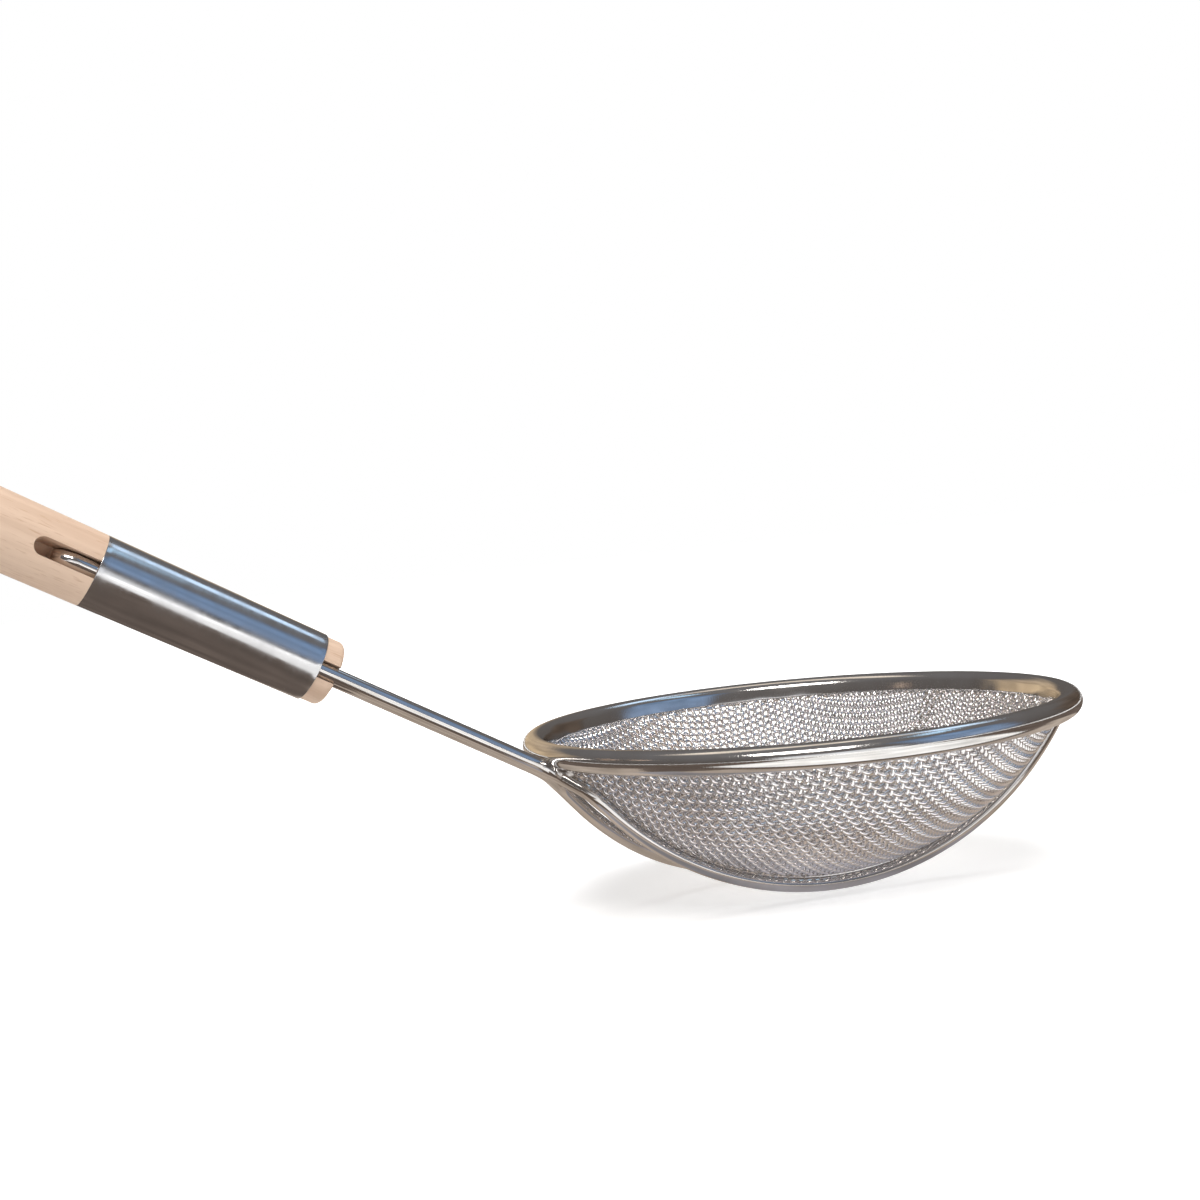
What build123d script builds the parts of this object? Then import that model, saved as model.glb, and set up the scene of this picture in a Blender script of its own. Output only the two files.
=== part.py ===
from build123d import *
import os
from math import acos, ceil, cos, degrees, radians, sin, sqrt

# Hand skimmer: woven bowl in a rolled rim, two support wires, ferrule and turned handle.
# Millimetres. Rim plane level, z up, handle rising towards -x, lowest point of the wires at z = 0.

# Rim and bowl
rim_outer_diameter = 140.0
rim_roll_radius = 2.95        # outside of the rolled edge
rim_lip_radius = 1.15         # outside of the pinched lip that grips the mesh
rim_sheet = 0.5
lip_inset = 2.3               # from the roll's centre to the lip's centre, towards the axis
lip_drop = 1.7                # the same, downwards
core_radius = 1.8
core_play = 0.1               # between the core and the outer side of the roll
bowl_depth = 39.2             # from the rim's middle plane down to the outside of the mesh
mesh_thickness = 1.05
mesh_pitch = 2.07              # between neighbouring wires of the mesh, along the bowl
mesh_relief = 0.35             # by which they stand proud of the grooves between them
grip_offset = 0.35            # the mesh's outside passes this far outside the lip's centre
grip_drop = 0.3               # and this far under it
mesh_edge_drop = 1.0          # of the mesh's edge inside the roll, under the rim's middle plane
slit_top_drop = 1.3           # down from there the lip stands open for the mesh
slit_play = 0.04

# Support wires, bent to arcs that follow the bowl
wire_radius = 1.79
wire_play = 0.04              # between the two wires in the shank
bowl_play = 0.05              # between the wires and the mesh
wire_half_spread = 18.94      # half the distance between the wires' planes under the axis
splay_share = 0.151           # how fast that half distance grows along x
end_drop = 4.6                # of a wire's end under the rim's middle plane
end_run = 0.8                 # straight piece at that end
knee_drop = 8.8               # of the bend between shank and bowl
knee_stand = 0.35             # by which that bend's corner stands off the arc
knee_bend = 9.0
peel_bend = 10.0
peel_place = 1.0              # where the wires part, down the shank from the rim's edge

# Shank, ferrule and handle
shank_angle = 30.3            # above level
shank_drop = 2.85             # of the pair of wires at the rim's outer edge
pair_tilt = 8.0               # of the line through the two wires, from level
ferrule_near = 61.0           # ends of the ferrule, along the shank from the rim's edge
ferrule_far = 113.9
ferrule_near_radius = 7.95
ferrule_far_radius = 8.3
ferrule_wall = 0.3
ferrule_play = 0.06           # between the ferrule and the wood inside it
axis_depth = 3.9              # handle's axis from the middle of the pair, away from the slot's mouth
axis_lift = 1.1
nose_length = 4.7
nose_corner = 1.1
shoulder_radius = 8.45
shoulder_place_share = 0.135  # along the bare handle
shoulder_flare = 0.3          # slope of the bare handle where it leaves the ferrule
belly_radius = 9.7
belly_place_share = 0.5
tail_radius = 8.7
tail_place_share = 0.85
end_radius = 8.0
end_place = 292.0             # centre of the round end, along the shank from the rim's edge
end_turn = 75.0               # how far the round end turns before it meets the handle's side
slot_width = 4.1
slot_length = 14.1            # past the ferrule
hook_reach = 10.1             # outside of the hook, past the ferrule
hook_depth = 6.0
hook_bend = 4.0
hook_play = 0.06
straight_end = 1.5            # of the other wire, past the ferrule
hanging_hole_radius = 2.5
hanging_hole_place = 284.0

# Weld beads
rim_bead_radius = 2.3
rim_bead_place_share = 0.25   # from the point where the wires part to the knee
rim_bead_rise_share = 0.7     # above the wire's middle line, in wire radii
end_bead_radius = 2.1
overrun = 2.0                 # by which cutting shapes pass the surfaces they cut

# Places that follow from the sizes
rim_radius = rim_outer_diameter / 2
roll_centre = rim_radius - rim_roll_radius
rise = radians(shank_angle)
tilt = radians(pair_tilt)
along = Vector(-cos(rise), 0, sin(rise))       # up the shank
above = Vector(sin(rise), 0, cos(rise))        # square to it, in the middle plane
inward = Vector(0, cos(tilt), 0) - above * sin(tilt)    # from the slot's mouth to its floor
aside = above * cos(tilt) + Vector(0, sin(tilt), 0)

# The mesh is part of a sphere through the bowl's lowest point and the lip
grip_radius = roll_centre - lip_inset + grip_offset
grip_height = bowl_depth - lip_drop - grip_drop
bowl_radius = (grip_radius**2 + grip_height**2) / (2 * grip_height)
sphere_rise = bowl_radius - bowl_depth         # of its centre over the rim's middle plane

# Each wire lies in an upright plane, on the arc in which that plane cuts a slightly larger sphere
plane_offset = wire_half_spread / sqrt(1 + splay_share**2)
arc_radius = sqrt((bowl_radius + bowl_play + wire_radius)**2 - plane_offset**2)
rim_height = max(bowl_depth, arc_radius - sphere_rise + wire_radius)
end_reach = rim_radius + end_place * cos(rise) + end_radius \
    - (inward * axis_depth + aside * axis_lift).X
rim_place = (end_reach - rim_radius) / 2
rim_centre = Vector(rim_place, 0, rim_height)

pair_start = rim_centre - Vector(rim_radius, 0, shank_drop)
axis_start = pair_start + inward * axis_depth + aside * axis_lift
handle_axis = Axis(axis_start, along)
rim_axis = Axis(rim_centre, (0, 0, 1))
rim_section = Plane(origin=rim_centre, x_dir=(1, 0, 0), z_dir=(0, -1, 0))
handle_section = Plane(origin=axis_start, x_dir=along, z_dir=(0, 1, 0))
wire_pitch = wire_radius + wire_play / 2


def wire_points(side):
    # corners of a wire's middle line from the shank to its end under the rim, before rounding;
    # side is -1 on the right and 1 on the left
    level = Vector(1, side * splay_share, 0).normalized()
    centre = rim_centre + Vector(-side * level.Y, side * level.X, 0) * plane_offset \
        + Vector(0, 0, sphere_rise)

    def at(turn, reach):
        # turn is the angle from straight down, towards the front of the bowl
        return centre + level * (reach * sin(turn)) - Vector(0, 0, reach * cos(turn))

    knee_reach = arc_radius + knee_stand
    knee_turn = -acos((sphere_rise + knee_drop) / knee_reach)
    arc_start = knee_turn + acos(arc_radius / knee_reach)
    arc_end = acos((sphere_rise + end_drop) / arc_radius)
    corner = at((arc_start + arc_end) / 2, arc_radius / cos((arc_end - arc_start) / 2))
    leaving = level * cos(arc_end) + Vector(0, 0, sin(arc_end))
    peel = pair_start + inward * (side * wire_pitch) - along * peel_place
    return [peel, at(knee_turn, knee_reach), corner, at(arc_end, arc_radius) + leaving * end_run]


bend_radii = [peel_bend, knee_bend, arc_radius]
right_points = wire_points(-1)
left_points = wire_points(1)
hook_place = ferrule_far + hook_reach - wire_radius
hook_top = pair_start - inward * wire_pitch + along * hook_place
left_start = pair_start + inward * wire_pitch + along * (ferrule_far + straight_end)


def turn_at(drop):
    # angle of the mesh, from straight down, at that depth under the rim's middle plane
    return degrees(acos((sphere_rise + drop) / bowl_radius))


# Woven bowl: a shell with a rib for each wire, across the bowl outside and along it inside.
# A rib is a circle of latitude about a level axis, so that ribs keep one distance all over.
rib_turn = mesh_pitch / bowl_radius
rib_count = ceil(radians(turn_at(mesh_edge_drop)) / rib_turn)    # on each side of the middle one
bowl_centre = rim_centre + Vector(0, 0, sphere_rise)


def rib_face(plane, crest, groove):
    # ribs between two radii, closed over the bowl's level axis
    def at(radius, place):
        return radius * sin(place * rib_turn), -radius * cos(place * rib_turn)

    with BuildSketch(plane) as face:
        with BuildLine():
            for rib in range(-rib_count, rib_count + 1):
                ThreePointArc(at(groove, rib - 0.5), at(crest, rib), at(groove, rib + 0.5))
            edge_x, edge_y = at(groove, rib_count + 0.5)
            Polyline((edge_x, edge_y), (edge_x, 0), (-edge_x, 0), (-edge_x, edge_y))
        make_face()
    return face.sketch


bowl_section = Plane(origin=bowl_centre, x_dir=(1, 0, 0), z_dir=(0, -1, 0))
cross_section = Plane(origin=bowl_centre, x_dir=(0, 1, 0), z_dir=(1, 0, 0))
mesh_edge = Plane(origin=rim_centre - Vector(0, 0, mesh_edge_drop), z_dir=(0, 0, -1))
inner_radius = bowl_radius - mesh_thickness
with BuildPart() as bowl_hollow:
    revolve(rib_face(cross_section, inner_radius, inner_radius + mesh_relief), axis=Axis(bowl_centre, (0, 1, 0)))
    split(bisect_by=mesh_edge.offset(-overrun))

with BuildPart() as mesh_bowl:
    revolve(rib_face(bowl_section, bowl_radius, bowl_radius - mesh_relief), axis=Axis(bowl_centre, (1, 0, 0)))
    split(bisect_by=mesh_edge)
    add(bowl_hollow.part, mode=Mode.SUBTRACT)
mesh_bowl.part.label = "mesh_bowl"

# Rolled rim: sheet round the core, pinched to a lip that stands open for the mesh
def rim_outline(skin):
    # roll and lip in one smooth outline, as deep under the outside of the sheet as skin says
    with Locations((roll_centre, 0)):
        Circle(rim_roll_radius - skin)
    with Locations((roll_centre - lip_inset, -lip_drop)):
        Circle(rim_lip_radius - skin)
    make_hull()


with BuildPart() as rim_envelope:
    with BuildSketch(rim_section):
        rim_outline(0)
    revolve(axis=rim_axis)

with BuildPart() as rim_band:
    with BuildSketch(rim_section):
        rim_outline(0)
        with BuildSketch(mode=Mode.PRIVATE) as hollow:
            rim_outline(rim_sheet)
        add(hollow.sketch, mode=Mode.SUBTRACT)
        with BuildLine():
            slit_start = turn_at(lip_drop + rim_lip_radius + overrun) - 90
            slit_turn = turn_at(slit_top_drop) - 90 - slit_start
            slit_outer = CenterArc((0, sphere_rise), bowl_radius + slit_play, slit_start, slit_turn)
            slit_inner = CenterArc((0, sphere_rise), bowl_radius - mesh_thickness - slit_play,
                                   slit_start, slit_turn)
            Line(slit_outer @ 0, slit_inner @ 0)
            Line(slit_outer @ 1, slit_inner @ 1)
        make_face(mode=Mode.SUBTRACT)
    revolve(axis=rim_axis)
rim_band.part.label = "rim_band"

# Core of the roll, lying against its outer side
core_centre = rim_radius - rim_sheet - core_play - core_radius
with BuildPart() as rim_core_wire:
    with BuildSketch(rim_section):
        with Locations((core_centre, 0)):
            Circle(core_radius)
    revolve(axis=rim_axis)
rim_core_wire.part.label = "rim_core_wire"

# Right wire, hooked into the handle behind the ferrule
with BuildPart() as right_support_wire:
    with BuildLine() as right_path:
        FilletPolyline(hook_top + inward * hook_depth, hook_top, *right_points,
                       radius=[hook_bend] + bend_radii)
    with BuildSketch(Plane(origin=right_path.line @ 0, z_dir=right_path.line % 0)):
        Circle(wire_radius)
    sweep(path=right_path.line)
    add(rim_envelope.part, mode=Mode.SUBTRACT)
right_support_wire.part.label = "right_support_wire"

# Left wire, ending straight under the ferrule's end
with BuildPart() as left_support_wire:
    with BuildLine() as left_path:
        FilletPolyline(left_start, *left_points, radius=bend_radii)
    with BuildSketch(Plane(origin=left_path.line @ 0, z_dir=left_path.line % 0)):
        Circle(wire_radius)
    sweep(path=left_path.line)
    add(rim_envelope.part, mode=Mode.SUBTRACT)
left_support_wire.part.label = "left_support_wire"

# Ferrule: cone of thin sheet
with BuildPart() as ferrule:
    with BuildSketch(handle_section):
        Polygon((ferrule_near, ferrule_near_radius), (ferrule_far, ferrule_far_radius),
                (ferrule_far, ferrule_far_radius - ferrule_wall),
                (ferrule_near, ferrule_near_radius - ferrule_wall), align=None)
    revolve(axis=handle_axis)
ferrule.part.label = "ferrule"

# Turned handle with its nose, wire slot, hook hole and hanging hole
nose_start = ferrule_near - nose_length
seat_near = ferrule_near_radius - ferrule_wall - ferrule_play
seat_far = ferrule_far_radius - ferrule_wall - ferrule_play
bare_length = end_place - ferrule_far
with BuildPart() as wooden_handle:
    with BuildSketch(handle_section):
        with BuildLine():
            end_arc = CenterArc((end_place, 0), end_radius, 0, end_turn)
            side_curve = Spline((ferrule_far, ferrule_far_radius),
                                (ferrule_far + bare_length * shoulder_place_share, shoulder_radius),
                                (ferrule_far + bare_length * belly_place_share, belly_radius),
                                (ferrule_far + bare_length * tail_place_share, tail_radius),
                                end_arc @ 1,
                                tangents=((cos(radians(shoulder_flare)), sin(radians(shoulder_flare))),
                                          -(end_arc % 1)))
            Polyline(side_curve @ 0, (ferrule_far, seat_far), (ferrule_near, seat_near),
                     (nose_start + nose_corner, seat_near), (nose_start, seat_near - nose_corner),
                     (nose_start, 0), end_arc @ 0)
        make_face()
    revolve(axis=handle_axis)
    slot_floor = wire_pitch + wire_radius + hook_play
    slot_plane = Plane(origin=pair_start + inward * slot_floor, x_dir=along, z_dir=-inward)
    slot_tip = ferrule_far + slot_length - slot_width / 2
    with BuildSketch(slot_plane):
        with Locations(((nose_start - overrun + slot_tip) / 2, 0)):
            Rectangle(slot_tip - nose_start + overrun, slot_width)
        with Locations((slot_tip, 0)):
            Circle(slot_width / 2)
    extrude(amount=slot_floor + axis_depth + belly_radius, mode=Mode.SUBTRACT)
    with BuildSketch(slot_plane):
        with Locations((hook_place, 0)):
            Circle(wire_radius + hook_play)
    extrude(amount=-(hook_depth - wire_pitch - slot_floor + hook_play), mode=Mode.SUBTRACT)
    with BuildSketch(Plane(origin=axis_start + along * hanging_hole_place, x_dir=along, z_dir=above)):
        Circle(hanging_hole_radius)
    extrude(amount=belly_radius + overrun, both=True, mode=Mode.SUBTRACT)
wooden_handle.part.label = "wooden_handle"

# Weld beads where the wires pass under the rim and where they end
def rim_bead_place(points):
    # between the roll and the wire's straight run from the shank to its knee
    return points[0] + (points[1] - points[0]) * rim_bead_place_share \
        + Vector(0, 0, wire_radius * rim_bead_rise_share)


with BuildPart() as weld_beads:
    with Locations(rim_bead_place(right_points), rim_bead_place(left_points)):
        Sphere(rim_bead_radius)
    with Locations(right_points[-1], left_points[-1]):
        Sphere(end_bead_radius)
    add(rim_envelope.part, mode=Mode.SUBTRACT)
    with Locations(rim_centre + Vector(0, 0, sphere_rise)):
        Sphere(bowl_radius + slit_play, mode=Mode.SUBTRACT)
    add(right_support_wire.part, mode=Mode.SUBTRACT)
    add(left_support_wire.part, mode=Mode.SUBTRACT)
weld_beads.part.label = "weld_beads"

os.makedirs("parts", exist_ok=True)
export_step(mesh_bowl.part, "parts/mesh_bowl.step")
export_step(rim_band.part, "parts/rim_band.step")
export_step(rim_core_wire.part, "parts/rim_core_wire.step")
export_step(right_support_wire.part, "parts/right_support_wire.step")
export_step(left_support_wire.part, "parts/left_support_wire.step")
export_step(ferrule.part, "parts/ferrule.step")
export_step(wooden_handle.part, "parts/wooden_handle.step")
export_step(weld_beads.part, "parts/weld_beads.step")
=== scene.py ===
from math import acos, cos, pi, radians, sin, sqrt

import bmesh
import bpy
import numpy as np
from mathutils import Matrix, Vector


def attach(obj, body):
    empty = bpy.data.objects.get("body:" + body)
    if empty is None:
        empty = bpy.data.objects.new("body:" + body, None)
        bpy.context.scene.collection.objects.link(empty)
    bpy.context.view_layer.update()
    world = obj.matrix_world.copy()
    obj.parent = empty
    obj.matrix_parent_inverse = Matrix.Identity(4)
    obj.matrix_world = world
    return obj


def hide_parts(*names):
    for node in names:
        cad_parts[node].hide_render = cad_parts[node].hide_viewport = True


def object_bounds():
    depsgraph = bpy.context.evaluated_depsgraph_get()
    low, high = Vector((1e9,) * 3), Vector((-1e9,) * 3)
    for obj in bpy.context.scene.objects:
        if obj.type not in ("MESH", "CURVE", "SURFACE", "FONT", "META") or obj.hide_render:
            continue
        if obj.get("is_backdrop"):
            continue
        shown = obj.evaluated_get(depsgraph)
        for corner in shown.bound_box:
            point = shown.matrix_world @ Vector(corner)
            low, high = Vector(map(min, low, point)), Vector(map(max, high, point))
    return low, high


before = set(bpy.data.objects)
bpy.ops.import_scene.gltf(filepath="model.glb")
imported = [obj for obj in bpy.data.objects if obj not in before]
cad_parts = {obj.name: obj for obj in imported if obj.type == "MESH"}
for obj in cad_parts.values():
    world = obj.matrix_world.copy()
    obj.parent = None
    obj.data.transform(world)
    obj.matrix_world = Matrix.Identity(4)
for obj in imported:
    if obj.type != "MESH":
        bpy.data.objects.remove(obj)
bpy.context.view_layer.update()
print("frame loaded with", len(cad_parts), "CAD nodes")

zAxis = np.array([0.0, 0.0, 1.0])

layout = {                            # the CAD's own sizes, in metres
    "rimRadius": 0.070,
    "rimRoll": 0.00295,
    "lipRadius": 0.00115,
    "lipInset": 0.0023,
    "lipDrop": 0.0017,
    "sphereRadius": 0.075563,         # outside of the mesh
    "sphereRise": 0.036363,           # its centre over the rim's plane
    "rimCentre": (0.1299179, 0.0, 0.04053),
    "shankAngle": 30.3,
    "shankDrop": 0.00285,
    "pairTilt": 8.0,
    "axisDepth": 0.0039,
    "axisLift": 0.0011,
    "wireRadius": 0.00179,
    "wirePitch": 0.00181,
}
rimCentre = np.array(layout["rimCentre"])
sphereCentre = rimCentre + zAxis * layout["sphereRise"]
rise = radians(layout["shankAngle"])
tilt = radians(layout["pairTilt"])
along = np.array([-cos(rise), 0, sin(rise)])                    # up the shank
above = np.array([sin(rise), 0, cos(rise)])
inward = np.array([0, cos(tilt), 0]) - above * sin(tilt)        # from the slot's mouth to its floor
aside = above * cos(tilt) + np.array([0, sin(tilt), 0])
pairStart = rimCentre - np.array([layout["rimRadius"], 0, layout["shankDrop"]])
axisStart = pairStart + inward * layout["axisDepth"] + aside * layout["axisLift"]


def unit(v):
    # v over its length
    return v / np.linalg.norm(v, axis=-1, keepdims=True)


def gridFaces(rows, columns, first=0):
    # quads of a grid of points that closes on itself across its columns
    r, c = np.meshgrid(np.arange(rows - 1), np.arange(columns), indexing="ij")
    nextColumn = (c + 1) % columns
    quads = np.stack([r * columns + c, (r + 1) * columns + c,
                      (r + 1) * columns + nextColumn, r * columns + nextColumn], axis=-1)
    return quads.reshape(-1, 4) + first


def addPiece(name, points, faces, uv=None, merge=0.0):
    # a smooth mesh piece from a table of points and a list of faces, with a UV value per corner
    mesh = bpy.data.meshes.new(name)
    mesh.from_pydata(points.tolist(), [], faces)
    if uv is not None:
        mesh.uv_layers.new(name="surface").data.foreach_set("uv", np.asarray(uv, np.float32).ravel())
    if merge:
        work = bmesh.new()
        work.from_mesh(mesh)
        bmesh.ops.remove_doubles(work, verts=work.verts, dist=merge)
        bmesh.ops.dissolve_degenerate(work, dist=merge, edges=work.edges)
        work.to_mesh(mesh)
        work.free()
    mesh.polygons.foreach_set("use_smooth", np.ones(len(mesh.polygons), bool))
    mesh.validate()
    obj = bpy.data.objects.new(name, mesh)
    bpy.context.scene.collection.objects.link(obj)
    return obj


def addGrid(name, grid, lengthAlong, lengthRound, merge=1e-7):
    # piece from grid[row, column], closed round its columns; UV is (metres along, metres round)
    rows, columns = grid.shape[:2]
    faces = gridFaces(rows, columns)
    r, c = faces // columns, faces % columns
    c[:, 2:] = c[:, :1] + 1                                # the seam's corners get a full turn
    uv = np.stack([np.asarray(lengthAlong)[r], c / columns * lengthRound], axis=-1)
    return addPiece(name, grid.reshape(-1, 3), faces.tolist(), uv, merge)


def sweepGrid(path, radii, reference, sides):
    # p(s, a) = path(s) + radius(s) (cos a * across + sin a * up), square to the path
    tangent = unit(np.gradient(path, axis=0))
    across = unit(np.cross(tangent, reference))
    up = np.cross(across, tangent)
    turn = np.linspace(0, 2 * pi, sides, endpoint=False)[None, :, None]
    ring = across[:, None] * np.cos(turn) + up[:, None] * np.sin(turn)
    return path[:, None] + ring * np.asarray(radii)[:, None, None]


def revolveGrid(origin, axis, places, radii, sides, start):
    # p(s, a) = origin + place(s) axis + radius(s) (cos a * u + sin a * v)
    u = unit(start - axis * np.dot(start, axis))
    v = np.cross(axis, u)
    turn = np.linspace(0, 2 * pi, sides, endpoint=False)[None, :, None]
    ring = u * np.cos(turn) + v * np.sin(turn)
    return origin + np.asarray(places)[:, None, None] * axis + np.asarray(radii)[:, None, None] * ring


def pathLength(path):
    # running sum of the steps' lengths
    return np.concatenate([[0], np.cumsum(np.linalg.norm(np.diff(path, axis=0), axis=1))])


def roundedPath(corners, bends, step):
    # straight runs between the corners, each corner an arc of its radius, sampled every step
    corners = np.asarray(corners, float)
    runs, last = [], corners[0]
    for corner, ahead, behind, radius in zip(corners[1:-1], corners[2:], corners[:-2], bends):
        d0, d1 = unit(corner - behind), unit(ahead - corner)
        turn = acos(float(np.clip(d0 @ d1, -1, 1)))
        reach = radius * np.tan(turn / 2)
        start, across = corner - d0 * reach, unit(d1 - d0 * (d0 @ d1))
        count = max(2, int(np.linalg.norm(start - last) / step))
        runs.append(last + (start - last) * np.linspace(0, 1, count, endpoint=False)[:, None])
        a = np.linspace(0, turn, max(6, int(turn * radius / step)), endpoint=False)[:, None]
        runs.append(start + d0 * radius * np.sin(a) + across * radius * (1 - np.cos(a)))   # the arc
        last = corner + d1 * reach
    runs.append(last + (corners[-1] - last) * np.linspace(0, 1, 6)[:, None])
    return np.concatenate(runs)


# Woven bowl

weave = {
    "pitch": 0.00207,                 # between crossings along a wire
    "wireRadius": 0.00053,
    "turn": -3.0,                     # of the warp, from x
    "poleTurnY": 12.0,                # the weave's middle stands off the lowest point
    "poleTurnX": -12.0,
    "reach": 54,                      # crossings from that middle
    "samples": 7,                     # along a wire, per crossing
    "sides": 6,
    "split": 60,                      # wires before this one are in the first piece of their direction
    "edgeDrop": 0.0010,               # of the cut edge under the rim's plane
    "jitter": 0.00004,
    "pressed": 0.94,                  # how much of a full wire the crossing wires keep apart
    "pressedDrop": 0.0026,            # under the rim's plane, where the lip lets go of the weave
    "pressedRun": 0.0020,
    "pressedLeast": 0.3,              # share of the crimp that stays in the lip
    "fewestPoints": 6,                # a shorter wire is left out
    "seed": 11,
}


def netQuarter(first, second, step, count):
    # fourth corner of each cell: D = A - 2 (A.n) n, with n square to the plane of B and C,
    # so that every cell's four sides are equally long on the sphere
    down = -zAxis
    k = (np.arange(count) * step)[:, None]
    net = np.zeros((count, count, 3))
    net[:, 0] = np.cos(k) * down + np.sin(k) * first
    net[0, :] = np.cos(k) * down + np.sin(k) * second
    for diagonal in range(2, 2 * count - 1):
        i = np.arange(max(1, diagonal - count + 1), min(count, diagonal))
        j = diagonal - i
        a, b, c = net[i - 1, j - 1], net[i - 1, j], net[i, j - 1]
        n = unit(np.cross(b, c) + 1e-12)
        net[i, j] = a - 2 * (a * n).sum(1, keepdims=True) * n
    return net


def weaveNet():
    # four quarters of the net round the pole, turned together to the weave's middle, then jittered
    count, step = weave["reach"], weave["pitch"] / (layout["sphereRadius"] - 2 * weave["wireRadius"])
    t = radians(weave["turn"])
    u, v = np.array([cos(t), sin(t), 0]), np.array([-sin(t), cos(t), 0])
    c = count - 1
    net = np.zeros((2 * count - 1, 2 * count - 1, 3))
    net[c:, c:] = netQuarter(u, v, step, count)
    net[:c + 1, c:] = netQuarter(-u, v, step, count)[::-1]
    net[c:, :c + 1] = netQuarter(u, -v, step, count)[:, ::-1]
    net[:c + 1, :c + 1] = netQuarter(-u, -v, step, count)[::-1, ::-1]
    turnY, turnX = radians(weave["poleTurnY"]), radians(weave["poleTurnX"])
    aboutY = np.array([[cos(turnY), 0, sin(turnY)], [0, 1, 0], [-sin(turnY), 0, cos(turnY)]])
    aboutX = np.array([[1, 0, 0], [0, cos(turnX), -sin(turnX)], [0, sin(turnX), cos(turnX)]])
    rng = np.random.default_rng(weave["seed"])
    uneven = rng.normal(0, weave["jitter"] / layout["sphereRadius"], net.shape)
    return unit(net @ (aboutX @ aboutY).T + uneven)


def smoothBetween(nodes, samples):
    # Catmull-Rom: p(t) = b + t(c-a)/2 + t^2(a - 5b/2 + 2c - d/2) + t^3(3(b-c) + d - a)/2
    a, b, c, d = nodes[:-3], nodes[1:-2], nodes[2:-1], nodes[3:]
    t = (np.arange(samples) / samples)[None, :, None, None]
    a, b, c, d = (x[:, None] for x in (a, b, c, d))
    p = b + t * (c - a) / 2 + t**2 * (a - 2.5 * b + 2 * c - 0.5 * d) + t**3 * (3 * (b - c) + d - a) / 2
    return unit(p.reshape(-1, nodes.shape[1], 3))


def weaveWires(net, sign, keep):
    # wires along the first index of net: r = outside - radius - f crimp (1 - sign cos(pi s) (-1)^column),
    # where f falls in the lip, which presses the weave flat
    samples, sides, radius = weave["samples"], weave["sides"], weave["wireRadius"]
    crimp = radius * weave["pressed"]
    directions = smoothBetween(net, samples)
    s = 1 + np.arange(len(directions)) / samples
    points, faces, first = [], [], 0
    for column in np.flatnonzero(keep):
        d = directions[:, column]
        drop = rimCentre[2] - sphereCentre[2] - d[:, 2] * layout["sphereRadius"]
        f = np.clip((drop - weave["pressedDrop"]) / weave["pressedRun"], 0, 1)
        f = weave["pressedLeast"] + (1 - weave["pressedLeast"]) * f * f * (3 - 2 * f)
        wave = sign * np.cos(pi * s) * (-1.0) ** column
        reach = layout["sphereRadius"] - radius - f * crimp * (1 - wave)
        place = sphereCentre + d * reach[:, None]
        inside = np.flatnonzero(place[:, 2] < rimCentre[2] - weave["edgeDrop"])
        if len(inside) < weave["fewestPoints"]:
            continue
        run = slice(inside[0], inside[-1] + 1)
        path, normal = place[run], d[run]
        grid = sweepGrid(path, np.full(len(path), radius), normal, sides)
        quads = gridFaces(len(path), sides, first)
        last = first + (len(path) - 1) * sides
        ends = [list(range(first, first + sides)), list(range(last + sides - 1, last - 1, -1))]
        points.append(grid.reshape(-1, 3))
        faces += quads.tolist() + ends
        first += len(path) * sides
    return np.concatenate(points), faces


net = weaveNet()
before = np.arange(net.shape[1]) < weave["split"]
weavePieces = []
for name, table, sign, keep in (("warp_near", net, 1, before),
                                ("warp_far", net, 1, ~before),
                                ("weft_back", net.transpose(1, 0, 2), -1, before),
                                ("weft_front", net.transpose(1, 0, 2), -1, ~before)):
    points, faces = weaveWires(table, sign, keep)
    piece = addPiece(name, points, faces)
    weavePieces.append(piece)
    print(name, len(faces), "faces")

# Rolled rim

rim = {
    "turns": 420,
    "sectionSteps": 64,
    "wobble": 0.00010,                # uneven rolling, along the rim
    "waves": (9, 60, 14),             # fewest and most per turn, and how many are added up
    "seed": 5,
}


def waves(turn, seed, lowest, highest, count):
    # sum of sines of whole numbers of waves per turn, of about unit size
    rng = np.random.default_rng(seed)
    number = rng.integers(lowest, highest, count)
    phase = rng.uniform(0, 2 * pi, count)
    size = rng.uniform(0.4, 1, count)
    return (size * np.sin(np.outer(turn, number) + phase)).sum(1) / sqrt(count)


def rimGrid():
    # section: the outline round two circles, p(a) = c + r n(a) of whichever reaches further
    # along n(a); swept round the axis with a slight unevenness of the lip
    turn = np.linspace(0, 2 * pi, rim["turns"] + 1)[:, None]
    a = np.linspace(0, 2 * pi, rim["sectionSteps"], endpoint=False)[None, :]
    uneven = waves(turn[:, 0], rim["seed"], *rim["waves"])[:, None] * rim["wobble"]
    rollX = layout["rimRadius"] - layout["rimRoll"]
    lipX, lipZ = rollX - layout["lipInset"] + uneven, -layout["lipDrop"] + uneven * 0.5
    roll = rollX * np.cos(a) + layout["rimRoll"]
    lip = lipX * np.cos(a) + lipZ * np.sin(a) + layout["lipRadius"]
    onRoll = roll >= lip
    x = np.where(onRoll, rollX + layout["rimRoll"] * np.cos(a), lipX + layout["lipRadius"] * np.cos(a))
    z = np.where(onRoll, layout["rimRoll"] * np.sin(a), lipZ + layout["lipRadius"] * np.sin(a))
    return rimCentre + np.stack([x * np.cos(turn), x * np.sin(turn), z], axis=-1)


rimPath = np.linspace(0, 2 * pi * layout["rimRadius"], rim["turns"] + 1)
rimRing = addGrid("rolled_rim", rimGrid(), rimPath, 2 * pi * layout["rimRoll"])
print("rim made")

# Support wires

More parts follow.
